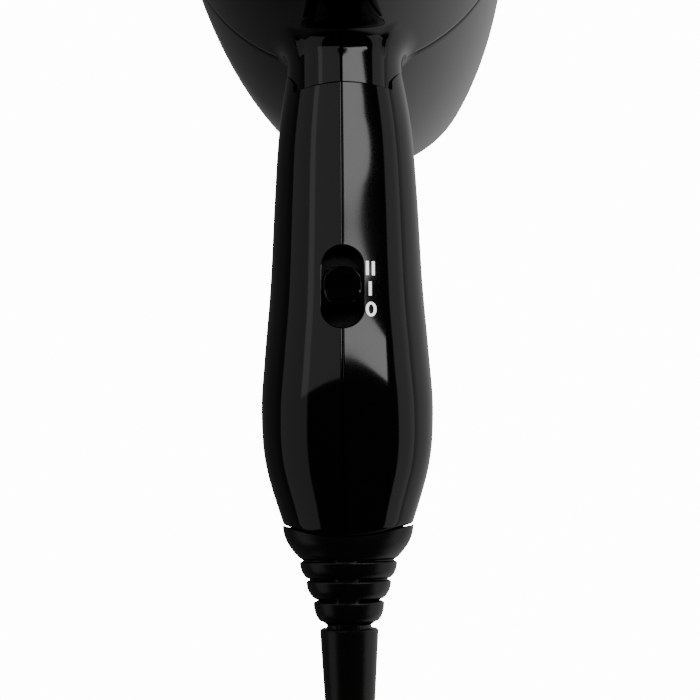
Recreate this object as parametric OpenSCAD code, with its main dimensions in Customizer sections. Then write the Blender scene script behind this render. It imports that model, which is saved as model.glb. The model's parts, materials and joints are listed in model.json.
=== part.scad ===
// Folding travel hair dryer. It stands on its outlet: the barrel's axis is +Z, the handle points to -Y,
// and the origin is the centre of the outlet's rim. Units are millimetres.

/* [Barrel] */
// Largest outside radius of the barrel
barrel_r = 39.4; // [39:0.1:40]
// Height of the widest place above the outlet
barrel_wide_z = 75; // [70:1:80]
// Radius of the long arc that the barrel's side follows
barrel_bow_r = 523.5; // [500:0.5:550]
// Height of the seam between the front barrel and the rear housing
seam_z = 100; // [99:0.5:101]
// Height where the side starts to round in to the inlet
shoulder_z = 120; // [118:1:122]
// Height of the inlet end
inlet_z = 155.5; // [155:0.5:158]
// Radius of the inlet opening
inlet_r = 27; // [26:0.5:27.5]
// Radius of the outlet opening
outlet_r = 31.2; // [30.8:0.1:31.4]
// Thickness of the plastic shells
wall = 2; // [1.8:0.1:2.2]

/* [Fold] */
// Distance of the fold axis from the barrel's axis
fold_y = 55; // [54.5:0.5:55.5]
// Height of the fold axis
fold_z = 104; // [103.5:0.5:104.5]
// Distance of the rear fold seam from the barrel's axis
fold_seam_y = 49.2; // [49:0.1:49.5]
// Radius of the handle's two cheeks
cheek_r = 12.6; // [12.2:0.1:12.8]
// Half the width of the neck's tongue between the cheeks
tongue_half = 10.7; // [10.5:0.1:10.8]

/* [Switch] */
// Distance of the switch's middle position from the barrel's axis
switch_y = 95; // [94:0.5:96]
// Half the width of the switch's slot
slot_half = 4.4; // [4.3:0.1:4.5]
// Half the length of the switch's slot
slot_half_len = 8.9; // [8.8:0.1:9]
// Distance between the switch's positions
switch_step = 4.4; // [4.3:0.1:4.4]

/* [Cord] */
// Diameter of the cord
cord_d = 7; // [6.8:0.1:7]
// Distance of the sleeve's end from the barrel's axis
sleeve_end_y = 200; // [198:1:202]
// Height of the cord's axis where it leaves the sleeve
cord_z = 112; // [112:0.5:112.5]
// Distance of the coil's middle from the barrel's axis
coil_y = 276; // [275:1:277]
// Radius of the coil's inner column of turns
coil_in_r = 35; // [34.5:0.5:35.5]
// Layers in the coil
coil_layers = 4; // [4:1:4]

/* [Fan] */
// Blades on the fan
blade_count = 7; // [5:1:9]
// Radius of the fan
fan_r = 32.8; // [31:0.2:33]
// Vanes on the motor's carrier
vane_count = 9; // [7:1:11]
// Turns of the heating element
heater_turns = 8; // [6:1:8]

/* [Hidden] */
gap = 0.3;
fit = 0.05;
touch = 0.01;
round_fn = 64;
ridge = 0.12;            // share of the handle's rear half that is a straight slope up to the centre line
handle_wall = 2.2;
cheek_in = 11;
sec_n = 12;              // steps round half of a handle section
neck_mid_z = 105.5;
neck_front_z = 90.6;
neck_fillet_r = 7;       // between the neck's sides and the barrel
spine_fillet_r = 15.7;   // between the neck's rear and the housing
spine_start_y = 51.5;
neck_half = 13.2;
bottom_y = 143.7;        // the handle's lower edge at its sides
bottom_dip = 2.9;        // and how much lower it is in the middle
coil_out_r = coil_in_r + cord_d;
coil_h = coil_layers * cord_d;
motor_r = 12.2;
motor_z0 = 97;
motor_z1 = 120;
carrier_z0 = 107;
carrier_z1 = 119;
carrier_r = 35.4;
board_z = 93.6;
carriage_half = 13.4;
knob_half_len = 4.25;
fan_z0 = 124;
fan_z1 = 134;
shaft_r = 1;
tube_r = 31.2;

// The handle's shape: distance down the handle, half width, front height, rear height
HANDLE = [
  [40, 12.9, 91.0, 120.0],
  [56, 15.1, 91.0, 120.3],
  [72, 16.1, 91.3, 121.2],
  [92, 16.9, 92.3, 123.6],
  [108, 18.0, 93.2, 126.0],
  [120, 18.6, 94.0, 127.0],
  [133, 17.4, 97.0, 125.8],
  [147, 12.6, 102.5, 121.5]
];

// The boot's shape: distance down the cord, half width, half depth
BOOT = [
  [144.0, 13.9, 9.9], [147.5, 13.0, 9.6], [150.0, 11.6, 9.2], [151.3, 10.6, 8.8], [151.7, 9.9, 8.0],
  [152.1, 10.4, 8.8], [153.2, 10.3, 8.7], [154.6, 9.4, 8.2], [155.4, 8.3, 7.4], [155.8, 7.4, 6.6],
  [156.2, 8.6, 7.8], [157.4, 8.5, 7.7], [158.9, 7.6, 7.1], [159.8, 6.4, 6.1], [160.1, 5.8, 5.6],
  [160.5, 7.3, 7.0], [161.8, 7.2, 6.9], [163.2, 6.6, 6.4], [164.2, 5.6, 5.6], [166.5, 5.3, 5.3]
];

// The cord's way from the sleeve down to the coil
CORD_RUN = [
  [0, -200, 112], [0, -209, 112], [0.8, -217.8, 110.1], [2.5, -225.9, 105.8], [5.3, -232.4, 99.4],
  [8.8, -236.5, 91.5], [12.8, -237.9, 82.9], [16.9, -236.7, 73.9], [20.8, -234, 64.5], [24.2, -233.3, 54.9],
  [27.1, -235.5, 45.5], [29.2, -240.7, 37.2], [30.5, -248.3, 30.8], [31.4, -257.8, 27], [33.8, -267.5, 25.2],
  [35, -276, 24.5]
];
// The cord's way from the coil up to the plug
PLUG_LEAD = [
  [39.6, -261.4, 24.5], [41.6, -268.7, 24.5], [42.9, -277.2, 25.3], [43.1, -285.8, 27.2], [41.5, -294.1, 29.8],
  [38, -301.7, 32.8], [32.7, -308.1, 35.8], [25.9, -313.1, 38.4], [17.9, -316.3, 40.2], [9.5, -317.8, 41]
];

PLASTIC = [0.05, 0.05, 0.055];
SOFT = [0.07, 0.07, 0.07];
STEEL = [0.7, 0.7, 0.72];
BRASS = [0.8, 0.62, 0.25];
MICA = [0.72, 0.66, 0.55];
COPPER = [0.72, 0.42, 0.25];

// ---- helpers ----

// Smooth curve through the stations of a table, column k at distance u
function slope(t, i, k) =
  let (a = max(i - 1, 0), b = min(i + 1, len(t) - 1))
  (t[b][k] - t[a][k]) / (t[b][0] - t[a][0]);
function span(t, u, i = 0) = (i >= len(t) - 2 || u < t[i + 1][0]) ? i : span(t, u, i + 1);
function along(t, u, k) =
  let (i = span(t, u), h = t[i + 1][0] - t[i][0], s = (u - t[i][0]) / h)
  (1 + 2 * s) * pow(1 - s, 2) * t[i][k] + s * pow(1 - s, 2) * h * slope(t, i, k)
  + s * s * (3 - 2 * s) * t[i + 1][k] + s * s * (s - 1) * h * slope(t, i + 1, k);

// One point of a section that has a low ridge along its rear: a is 0 at the rear and 180 at the front
function ridged(a, half, mid, up, down) =
  [half * sin(a), mid + (cos(a) > 0 ? up * ((1 - ridge) * cos(a) + ridge * (1 - abs(sin(a)))) : down * cos(a))];

// Closed solid from rings of points that all have the same count
module loft(rings) {
  m = len(rings[0]);
  n = len(rings);
  sides = [for (i = [0:n - 2]) for (j = [0:m - 1]) let (k = (j + 1) % m) for (f = [0, 1])
    f == 0 ? [i * m + j, i * m + k, (i + 1) * m + k] : [i * m + j, (i + 1) * m + k, (i + 1) * m + j]];
  polyhedron([for (r = rings) each r],
    concat([[for (j = [m - 1:-1:0]) j]], sides, [[for (j = [0:m - 1]) (n - 1) * m + j]]));
}

// Round tube swept along a list of points
function unit(v) = v / norm(v);
function heading(p, i) = unit(p[min(i + 1, len(p) - 1)] - p[max(i - 1, 0)]);
module swept(p, r, n = 8) {
  loft([for (i = [0:len(p) - 1])
    let (d = heading(p, i), s = unit(cross(d, [0.1, 0.25, 1])), q = cross(d, s))
    [for (j = [0:n - 1]) p[i] + r * (cos(j * 360 / n) * s + sin(j * 360 / n) * q)]]);
}

// Cylinder along X from x0 to x1 at the given place
module along_x(x0, x1, y, z, r, fn = round_fn) {
  translate([x0, y, z]) rotate([0, 90, 0]) cylinder(h = x1 - x0, r = r, $fn = fn);
}

// Cylinder along Y that starts at y0 and runs towards -Y
module down_y(y0, y1, x, z, r0, r1, fn = round_fn) {
  translate([x, y0, z]) rotate([90, 0, 0]) cylinder(h = y0 - y1, r1 = r0, r2 = r1, $fn = fn);
}

module ring(r_out, r_in, z0, z1) {
  translate([0, 0, z0]) difference() {
    cylinder(h = z1 - z0, r = r_out, $fn = 96);
    translate([0, 0, -1]) cylinder(h = z1 - z0 + 2, r = r_in, $fn = 96);
  }
}

module mirrored() {
  children();
  mirror([1, 0, 0]) children();
}

// ---- shapes that several parts share ----

function barrel_out(z) = barrel_r - barrel_bow_r + sqrt(pow(barrel_bow_r, 2) - pow(z - barrel_wide_z, 2));
function bez(t, a, b, c, d) =
  pow(1 - t, 3) * a + 3 * pow(1 - t, 2) * t * b + 3 * (1 - t) * t * t * c + pow(t, 3) * d;
function shoulder(t) = [
  bez(t, barrel_out(shoulder_z), barrel_out(shoulder_z) - 1.1, 34.4, inlet_r + 1.5),
  bez(t, shoulder_z, shoulder_z + 13, inlet_z - 5.5, inlet_z)
];

// Half width of the neck, with the fillet that joins it to the barrel
function neck_w(y) =
  let (c = sqrt(pow(barrel_out(seam_z) + neck_fillet_r, 2) - pow(neck_half + neck_fillet_r, 2)), s = c - y)
  s <= 0 ? neck_half : neck_half + neck_fillet_r - sqrt(max(0, pow(neck_fillet_r, 2) - s * s));
function neck_rear(y) =
  let (s = spine_start_y - y)
  120 + spine_fillet_r - sqrt(max(0, pow(spine_fillet_r, 2) - s * s));
function neck_ring(y) = [for (a = [0:15:345])
  let (q = ridged(a, neck_w(y), neck_mid_z, neck_rear(y) - neck_mid_z, neck_mid_z - neck_front_z))
  [q[0], -y, q[1]]];
module neck() {
  loft([for (y = [33, 35, 36.2, 37, 38, 39, 40, 41.2, 43.5, 46, fold_seam_y - gap]) neck_ring(y)]);
}

// The rounded barrel that turns between the handle's cheeks
function knuckle_r(x) = 1.1 + 12.3 * sqrt(1 - pow(x / 12.7, 2));
module knuckle(grow = 0) {
  translate([0, -fold_y, fold_z]) rotate([0, 90, 0]) rotate_extrude($fn = round_fn)
    polygon(concat([[0, -tongue_half]],
      [for (x = [-1:0.2:1]) [knuckle_r(x * tongue_half) + grow, x * tongue_half]], [[0, tongue_half]]));
}
module knuckle_room() {
  half = 8.3;
  translate([0, -fold_y, fold_z]) rotate([0, 90, 0]) rotate_extrude($fn = round_fn)
    polygon(concat([[0, -half]], [for (x = [-1:0.25:1]) [knuckle_r(x * half) - 2.4, x * half]], [[0, half]]));
}
// Room for the handle's cheeks beside the tongue
module cheek_room() {
  mirrored() along_x(tongue_half, 30, -fold_y, fold_z, cheek_r + gap);
}

// Half of a handle section as a closed wall, from the rear round to the front and back inside
function handle_ring(u) =
  let (w = along(HANDLE, u, 1), f = along(HANDLE, u, 2), r = along(HANDLE, u, 3), mid = (f + r) / 2, h = (r - f) / 2,
    t = handle_wall)
  concat(
    [for (i = [0:sec_n]) let (q = ridged(i * 180 / sec_n, w, mid, h, h)) [q[0], -u, q[1]]],
    [for (i = [sec_n:-1:0]) let (q = ridged(i * 180 / sec_n, w - t, mid, h - t, h - t)) [q[0], -u, q[1]]]);
module stadium(half, reach, z0, z1) {
  translate([0, -switch_y, z0]) linear_extrude(z1 - z0) union() {
    translate([0, reach]) circle(r = half, $fn = 48);
    translate([0, -reach]) circle(r = half, $fn = 48);
    square([2 * half, 2 * reach], center = true);
  }
}
module slot(grow, z0, z1) stadium(slot_half + grow, slot_half_len - slot_half, z0, z1);
// Everything beyond the handle's curved lower edge
module past_bottom(shift) {
  translate([0, 0, 80]) linear_extrude(60) polygon(concat([[-30, -200]],
    [for (k = [-5:5]) let (s = k / 5) [s * 15, -bottom_y - shift - bottom_dip * (1 - s * s)]], [[30, -200]]));
}

// Handle screws: distance, height, and how far their bosses reach out to the wall
SCREW_AT = [[-77, 106, 14.8], [-125, 103.5, 13.8]];

module handle_half() {
  difference() {
    union() {
      loft([for (u = [41, 44, 47, 50, 54, 58, 63, 68, 74, 80, 86, 92, 98, 104, 110, 116, 121, 126, 130, 134,
        138, 142, 147]) handle_ring(u)]);
      along_x(cheek_in, cheek_in + 1.7, -fold_y, fold_z, 6);
      intersection() {
        slot(1.2, 119, 121.4);
        translate([0, -120, 110]) cube([20, 60, 20]);
      }
      translate([4.6, -109, 115.6]) cube([6.8, 27, 1.4]);
      translate([6.9, -131.5, 99.2]) cylinder(h = 16.3, r = 2.4, $fn = 32);
    }
    // mouth between the cheeks, and the opening that the neck folds into
    translate([-1, -fold_seam_y, 80]) cube([1 + cheek_in, 20, 60]);
    translate([-1, -69, 80]) cube([1 + cheek_in, 40, fold_z - 80]);
    difference() {
      translate([cheek_in - 1, -fold_seam_y, 80]) cube([30, 20, 60]);
      along_x(0, 40, -fold_y, fold_z, cheek_r);
    }
    along_x(cheek_in - 1, 13.2, -fold_y, fold_z, 4);
    slot(0, 117, 130);
    // room for the switch's sliding cover over its whole travel
    translate([-1, -switch_y - carriage_half - switch_step - gap, 117.05])
      cube([1 + 5.2, 2 * (carriage_half + switch_step + gap), 2.05]);
    // and for the skirt round the knob, which slides under the slot's round ends
    translate([-1, -switch_y - knob_half_len - switch_step - gap, 117.05])
      cube([1 + slot_half, 2 * (knob_half_len + switch_step + gap), 4.05]);
    knuckle(gap);
    past_bottom(0);
    translate([6.9, -131.5, 100]) cylinder(h = 30, r = 1.2, $fn = 32);
  }
}

// ---- head ----

module front_barrel() color(PLASTIC) difference() {
  union() {
    rotate_extrude($fn = 96) polygon(concat(
      [[outlet_r, 0], [33, 0], [33.6, 0.3]],
      [for (z = [1, 10, 20, 30, 40, 50, 60, 70, 80, 90, 100]) [barrel_out(z), z]],
      [for (z = [100, 90, 80, 70, 60, 50, 40, 30, 20, 10, 6.4, 3.2]) [barrel_out(z) - wall, z]],
      [[outlet_r, 3.2]]));
    difference() {
      neck();
      translate([-30, -60, seam_z]) cube([60, 60, 60]);
      cylinder(h = 160, r = barrel_out(seam_z) - wall, $fn = 96);
    }
  }
  knuckle(fit);
  cheek_room();
  mirrored() {
    translate([7.3, -44.3, 80]) cylinder(h = 15.6, r = 2.7, $fn = 32);
    translate([7.3, -44.3, 80]) cylinder(h = 30, r = 1.4, $fn = 32);
  }
}

module rear_housing() color(PLASTIC) difference() {
  union() {
    rotate_extrude($fn = 96) polygon(concat(
      [for (z = [100, 104, 108, 112, 116]) [barrel_out(z), z]],
      [for (t = [0:0.1:1]) shoulder(t)],
      [[inlet_r, inlet_z], [inlet_r, inlet_z - 3]],
      [for (t = [0.8:-0.1:0]) shoulder(t) - [wall, 0.6 * t * wall]],
      [for (z = [116, 112, 108, 104]) [barrel_out(z) - wall, z]],
      [[36, 101.5], [36, 94], [36.75, 94], [36.75, 100]]));
    difference() {
      neck();
      translate([-30, -60, seam_z - 60]) cube([60, 60, 60]);
      cylinder(h = 160, r = 36.4, $fn = 96);
    }
    knuckle();
  }
  knuckle_room();
  cheek_room();
  translate([-6, -fold_y, 100.8]) cube([12, 25, 5]);
  translate([-2.5, -75, 90]) cube([5, 20, fold_z - 90]);
  along_x(-12, 12, -fold_y, fold_z, 5 + fit);
  along_x(-12, -10.1, -fold_y, fold_z, 7.4);
  mirrored() translate([7.3, -44.3, 80]) cylinder(h = 28, r = 1.3 + fit, $fn = 32);
}

module inlet_grille() color(PLASTIC) {
  ring(inlet_r - fit, inlet_r - 1.8, 152.4, 157);
  for (r = [5:5:20]) ring(r + 0.7, r - 0.7, 154.6, 157);
  for (a = [0:30:330]) rotate(a) translate([4.5, -0.6, 154.6]) cube([inlet_r - 5.6, 1.2, 1.8]);
  translate([0, 0, 154.6]) cylinder(h = 2.4, r = 3, $fn = 48);
  for (a = [0:60:300]) rotate(a) translate([2.5, -0.6, 154.6]) cube([3, 1.2, 1.8]);
}

module inlet_mesh() color(STEEL) ring(inlet_r - 1.9, 0.4, 152.6, 153.2);

module outlet_grille() color(PLASTIC) {
  ring(32.2, 29.6, 3.2, 6.4);
  for (r = [8, 15, 22.5]) ring(r + 0.7, r - 0.7, 3.6, 6.4);
  for (a = [0:45:315]) rotate(a) translate([1, -0.7, 3.6]) cube([29.5, 1.4, 2.8]);
}

module heat_shield_tube() color(STEEL) ring(tube_r, tube_r - 0.6, 6.4, 92);

module mica_boards() color(MICA) difference() {
  union() {
    translate([-28.5, -0.5, 12]) cube([57, 1, 80]);
    translate([-0.5, -28.5, 12]) cube([1, 57, 80]);
  }
  for (k = [0:heater_turns - 1]) translate([0, 0, 20 + 7 * k]) heater_ring(2);
}
module heater_ring(r) {
  rotate_extrude($fn = 64) translate([25, 0]) circle(r = r, $fn = 24);
}
module heater_coils() color(STEEL) {
  for (k = [0:heater_turns - 1]) translate([0, 0, 20 + 7 * k]) heater_ring(1.7);
}

module thermostat() color(BRASS) {
  translate([6, 0.6, 78]) cube([9, 3.4, 8]);
  translate([7, 4, 79]) cube([7, 0.6, 3]);
}
module thermal_fuse() color([0.8, 0.8, 0.75]) {
  along_x(-16, -6, -2.4, 82, 1.7, 32);
  along_x(-19, -16, -2.4, 82, 0.5, 24);
}

module motor_can() color(STEEL) difference() {
  translate([0, 0, motor_z0]) cylinder(h = motor_z1 - motor_z0, r = motor_r, $fn = round_fn);
  translate([0, 0, motor_z0 - 1]) cylinder(h = motor_z1 - motor_z0, r = motor_r - 0.8, $fn = round_fn);
  translate([0, 0, motor_z0]) cylinder(h = 40, r = 3.5, $fn = 48);
}
module motor_end_cap() color(PLASTIC) ring(motor_r, 3.5, motor_z0 - 1.6, motor_z0);
module motor_magnets() color([0.25, 0.25, 0.27]) difference() {
  ring(motor_r - 0.8, motor_r - 2.1, 99.5, 117);
  translate([-30, -2, 90]) cube([60, 4, 40]);
}
module motor_bushes() color(BRASS) {
  ring(3.5, shaft_r + fit, motor_z0 - 1.6, motor_z0 + 1.2);
  ring(3.5, shaft_r + fit, motor_z1 - 1.8, motor_z1 + 0.6);
}
module motor_carrier() color(PLASTIC) difference() {
  union() {
    ring(motor_r + 1.8, motor_r, carrier_z0 - 6, carrier_z1);
    ring(carrier_r, carrier_r - 1.4, carrier_z0, carrier_z1);
    for (a = [0:360 / vane_count:359]) rotate(a) translate([motor_r + 1.2, 0, (carrier_z0 + carrier_z1) / 2])
      rotate([25, 0, 0]) cube([2 * (carrier_r - 1 - motor_r - 1.2), 1.2, 11], center = true);
  }
  translate([0, 0, 90]) cylinder(h = 40, r = motor_r, $fn = round_fn);
}
module rectifier_board() color([0.15, 0.35, 0.2]) ring(12, 4.5, 92.2, board_z);
module rectifier_diodes() color([0.1, 0.1, 0.1]) {
  for (a = [45:90:315]) rotate(a) translate([8.2, 0, board_z]) translate([-1.5, -2.2, 0]) cube([3, 4.4, 1.6]);
}
module head_wires() color([0.55, 0.1, 0.1]) mirrored()
  swept([[2.8, -52, 103.4], [2.8, -44, 103.4], [2.8, -36, 103.3], [3.2, -28, 102], [4.5, -20, 97.5],
    [5.5, -14, 94.5], [5.8, -9.5, board_z + 0.8]], 0.8, 8);
module neck_screws() color(STEEL) mirrored() translate([7.3, -44.3, 0]) {
  translate([0, 0, 93.6]) cylinder(h = 2, r = 2.5, $fn = 32);
  translate([0, 0, 95.6]) cylinder(h = 12, r = 1.3, $fn = 32);
}

// ---- rotor ----

module fan_impeller() color([0.75, 0.74, 0.7]) difference() {
  union() {
    translate([0, 0, fan_z0 - 2]) cylinder(h = fan_z1 - fan_z0 + 2, r = 8, $fn = round_fn);
    intersection() {
      for (a = [0:360 / blade_count:359]) rotate(a) translate([7, 0, (fan_z0 + fan_z1) / 2])
        rotate([-38, 0, 0]) translate([0, -7, -0.6]) cube([30, 14, 1.2]);
      translate([0, 0, fan_z0]) cylinder(h = fan_z1 - fan_z0, r = fan_r, $fn = 96);
    }
  }
  translate([0, 0, 100]) cylinder(h = 60, r = shaft_r, $fn = 32);
}
module motor_shaft() color(STEEL) translate([0, 0, 95.6]) cylinder(h = 36, r = shaft_r, $fn = 32);
module motor_rotor() color(COPPER) difference() {
  translate([0, 0, 100]) cylinder(h = 16, r = 9.4, $fn = round_fn);
  translate([0, 0, 90]) cylinder(h = 40, r = shaft_r, $fn = 32);
  for (a = [0:120:240]) rotate(a) translate([6.5, -0.8, 90]) cube([4, 1.6, 40]);
}

// ---- handle ----

module handle_right() color(PLASTIC) difference() {
  union() {
    handle_half();
    for (p = SCREW_AT) along_x(0.1, p[2], p[0], p[1], 3, 32);
  }
  for (p = SCREW_AT) along_x(-1, 11, p[0], p[1], 1.5, 32);
}
module handle_left() color(PLASTIC) difference() {
  union() {
    mirror([1, 0, 0]) handle_half();
    for (p = SCREW_AT) along_x(-p[2], 0, p[0], p[1], 3.6, 32);
  }
  for (p = SCREW_AT) {
    along_x(-11.6, 1, p[0], p[1], 1.6, 32);
    along_x(-30, -11.6, p[0], p[1], 2.7, 32);
  }
}
module handle_screws() color(STEEL) for (p = SCREW_AT) {
  along_x(-11.6, 10, p[0], p[1], 1.5, 32);
  difference() {
    along_x(-13.4, -11.6, p[0], p[1], 2.6, 32);
    for (a = [0, 90]) translate([-13.6, p[0], p[1]]) rotate([a, 0, 0]) translate([0, -1.6, -0.35]) cube([0.9, 3.2, 0.7]);
  }
}

// Hollow stub axle: flange inside the knuckle, journal in its wall, spigot pressed into the cheek
module hinge_stub() {
  translate([0, -fold_y, fold_z]) rotate([0, 90, 0]) rotate_extrude($fn = round_fn)
    polygon([[2.6, 6.8], [7, 6.8], [7, 8], [5, 8], [5, cheek_in], [4, cheek_in], [4, 13.1], [2.6, 13.1]]);
}
module hinge_stub_right() color(STEEL) hinge_stub();
module hinge_stub_left() color(STEEL) mirror([1, 0, 0]) hinge_stub();
module hinge_spring_washer() color(STEEL)
  translate([0, -fold_y, fold_z]) rotate([0, 90, 0]) translate([0, 0, -cheek_in + touch]) difference() {
    cylinder(h = 0.7, r = 7.1, $fn = round_fn);
    translate([0, 0, -1]) cylinder(h = 3, r = 5.1, $fn = round_fn);
  }

module switch_body() color([0.12, 0.12, 0.13]) difference() {
  translate([-6, -106, 103]) cube([12, 22, 12]);
  translate([-1.4, -switch_y - 6.4, 110]) cube([2.8, 12.8, 10]);
}
module switch_terminals() color(BRASS) for (y = [-103, -98, -92, -87])
  translate([-1.5, y - 0.4, 98.5]) cube([3, 0.8, 4.5]);
module suppressor_capacitor() color([0.8, 0.65, 0.15]) {
  translate([-5.5, -128, 108]) cube([11, 9, 8]);
  for (x = [-3.5, 3.5]) down_y(-116, -119, x, 112, 0.4, 0.4, 24);
}
module handle_wires() color([0.2, 0.2, 0.5]) mirrored()
  down_y(-70.5, -86, 3.2, 101, 0.9, 0.9, 24);
module cord_clamp() color(PLASTIC) difference() {
  translate([-9.6, -134.2, 115.5]) cube([19.2, 5.4, 2.6]);
  mirrored() translate([6.9, -131.5, 110]) cylinder(h = 20, r = 1.3, $fn = 32);
}
module clamp_screws() color(STEEL) mirrored() translate([6.9, -131.5, 0]) {
  translate([0, 0, 106]) cylinder(h = 12.1, r = 1.2, $fn = 32);
  translate([0, 0, 118.1]) cylinder(h = 1.4, r = 2.2, $fn = 32);
}

// Strain relief: a collar, three rings on a slimmer core, and a long tapered sleeve
module ring_boot() color(SOFT) difference() {
  union() {
    loft([for (b = BOOT) [for (j = [0:23]) let (a = j * 15) [b[1] * sin(a), -b[0], cord_z + b[2] * cos(a)]]]);
    translate([-2.7, -164, cord_z - 5.6]) cube([5.4, 20, 11.2]);
  }
  difference() {
    translate([-30, -150, 80]) cube([60, 20, 60]);
    past_bottom(gap);
  }
  down_y(-140, -166.6, 0, cord_z, cord_d / 2, cord_d / 2);
}
module cord_sleeve() color(SOFT) difference() {
  union() {
    down_y(-166.5, -167.5, 0, cord_z, 5.6, 6.1);
    down_y(-167.5, -sleeve_end_y, 0, cord_z, 6.1, 4.1);
  }
  down_y(-160, -sleeve_end_y - 1, 0, cord_z, cord_d / 2, cord_d / 2);
}
module cord_tail() color(SOFT) down_y(-129.5, -sleeve_end_y, 0, cord_z, cord_d / 2, cord_d / 2);

// ---- switch slider ----

// A low square skirt, and a taller part whose round ends reach the slot's ends
module switch_knob() color(PLASTIC) difference() {
  knob_half = slot_half - gap;
  union() {
    translate([-knob_half, -switch_y - knob_half_len, 118.8]) cube([2 * knob_half, 2 * knob_half_len, 2]);
    stadium(knob_half, slot_half_len - slot_half - switch_step, 118.8, 125);
  }
  along_x(-10, 10, -switch_y, 130.2, 6.2, 48);
}
module switch_carriage() color(PLASTIC) {
  translate([-4.9, -switch_y - carriage_half, 117.3]) cube([9.8, 2 * carriage_half, 1.5]);
  translate([-1, -switch_y - 1.6, 111.5]) cube([2, 3.2, 5.8]);
}

// ---- free cord ----

module cord_run() color(SOFT) swept(CORD_RUN, cord_d / 2, 10);
module cord_coil() color(SOFT) difference() {
  translate([0, -coil_y, 0]) rotate_extrude($fn = 96) {
    c = 1.8;
    in = coil_in_r - cord_d / 2;
    out = coil_out_r + cord_d / 2;
    polygon([[in, c], [in + c, 0], [out - c, 0], [out, c], [out, coil_h - c], [out - c, coil_h],
      [in + c, coil_h], [in, coil_h - c]]);
  }
  tie_band(1);
}
module plug_lead() color(SOFT) swept(PLUG_LEAD, cord_d / 2, 10);
// Flat strap round all the turns; proud grows its outside only
module tie_band(proud) translate([-coil_out_r, -coil_y - 3, 0]) difference() {
  translate([-3.5 - proud, 0, -proud]) cube([14 + 2 * proud, 6, coil_h + 2 * proud]);
  translate([-2.6, -1, 0.9]) cube([12.2, 8, coil_h - 1.8]);
}
module cord_tie() color([0.1, 0.1, 0.1]) tie_band(0);
module plug_body() color(SOFT) translate([0, -coil_y - coil_out_r, coil_h + 13]) {
  intersection() {
    translate([-27, 0, 0]) rotate([0, 90, 0]) linear_extrude(27) union() {
      translate([0, 7]) circle(r = 11.5, $fn = 48);
      translate([0, -7]) circle(r = 11.5, $fn = 48);
      square([26, 14], center = true);
    }
    translate([-27, -30, -30]) cube([27, 60, 60]);
  }
  rotate([0, 90, 0]) cylinder(h = 10, r1 = 7, r2 = 4.4, $fn = 48);
}
module plug_pins() color(STEEL) translate([0, -coil_y - coil_out_r, coil_h + 13]) for (y = [-9.5, 9.5])
  along_x(-46, -27, y, 0, 2.4);

front_barrel();
rear_housing();
inlet_grille();
inlet_mesh();
outlet_grille();
heat_shield_tube();
mica_boards();
heater_coils();
thermostat();
thermal_fuse();
motor_can();
motor_end_cap();
motor_magnets();
motor_bushes();
motor_carrier();
rectifier_board();
rectifier_diodes();
head_wires();
neck_screws();
fan_impeller();
motor_shaft();
motor_rotor();
handle_left();
handle_right();
hinge_stub_left();
hinge_stub_right();
hinge_spring_washer();
handle_screws();
switch_body();
switch_terminals();
suppressor_capacitor();
handle_wires();
cord_clamp();
clamp_screws();
ring_boot();
cord_sleeve();
cord_tail();
switch_knob();
switch_carriage();
cord_run();
cord_coil();
plug_lead();
cord_tie();
plug_body();
plug_pins();
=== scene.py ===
"""Looks of a folding travel hair dryer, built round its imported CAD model.

Lengths are in millimetres, in the CAD's own frame, and mesh() turns them into metres.
"""

import json
import math

import bmesh
import bpy
from mathutils import Matrix, Vector


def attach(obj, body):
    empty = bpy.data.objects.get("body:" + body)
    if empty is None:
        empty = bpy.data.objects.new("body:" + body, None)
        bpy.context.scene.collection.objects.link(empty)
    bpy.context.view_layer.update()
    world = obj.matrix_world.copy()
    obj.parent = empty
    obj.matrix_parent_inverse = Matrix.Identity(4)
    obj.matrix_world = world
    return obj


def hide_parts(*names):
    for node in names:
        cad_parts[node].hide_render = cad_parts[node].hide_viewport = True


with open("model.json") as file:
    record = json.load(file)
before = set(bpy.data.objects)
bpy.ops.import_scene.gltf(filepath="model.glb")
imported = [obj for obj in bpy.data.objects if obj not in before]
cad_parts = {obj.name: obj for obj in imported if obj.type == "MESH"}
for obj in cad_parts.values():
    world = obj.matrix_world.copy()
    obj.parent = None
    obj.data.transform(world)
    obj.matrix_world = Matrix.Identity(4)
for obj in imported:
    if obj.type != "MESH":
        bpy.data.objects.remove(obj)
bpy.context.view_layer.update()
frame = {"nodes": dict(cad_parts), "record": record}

MM = 0.001

# Barrel and rear housing
BARREL_R, BARREL_WIDE_Z, BARREL_BOW_R = 39.4, 75.0, 523.5
SEAM_Z, SHOULDER_Z, INLET_Z = 100.0, 120.0, 155.5
INLET_R, OUTLET_R, WALL = 27.0, 31.2, 2.0
SEAM_HALF_GAP = 0.13

# Fold and neck
FOLD_Y, FOLD_Z, FOLD_SEAM_Y = -55.0, 104.0, -49.2
CHEEK_R, CHEEK_IN, TONGUE_HALF = 12.6, 11.0, 10.7
NECK_END_Y, NECK_HALF, NECK_MID_Z, NECK_FRONT_Z = -48.9, 13.2, 105.5, 90.6
REAR_FILLET = 4.0  # length of the fillet's arms along the neck's rear
RIDGE = 0.12  # share of a rear half that is a straight slope up to the centre line

# Handle: distance down it, half width, front height, rear height
HANDLE = [
    (40, 12.9, 91.0, 120.0), (56, 15.1, 91.0, 120.3), (72, 16.1, 91.3, 121.2),
    (92, 16.9, 92.3, 123.6), (108, 18.0, 93.2, 126.0), (120, 18.6, 94.0, 127.0),
    (133, 17.4, 97.0, 125.8), (147, 12.6, 102.5, 121.5),
]
HANDLE_WALL = 1.85
BOTTOM_Y, BOTTOM_DIP, BOTTOM_HALF = 143.7, 2.9, 15.0

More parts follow.
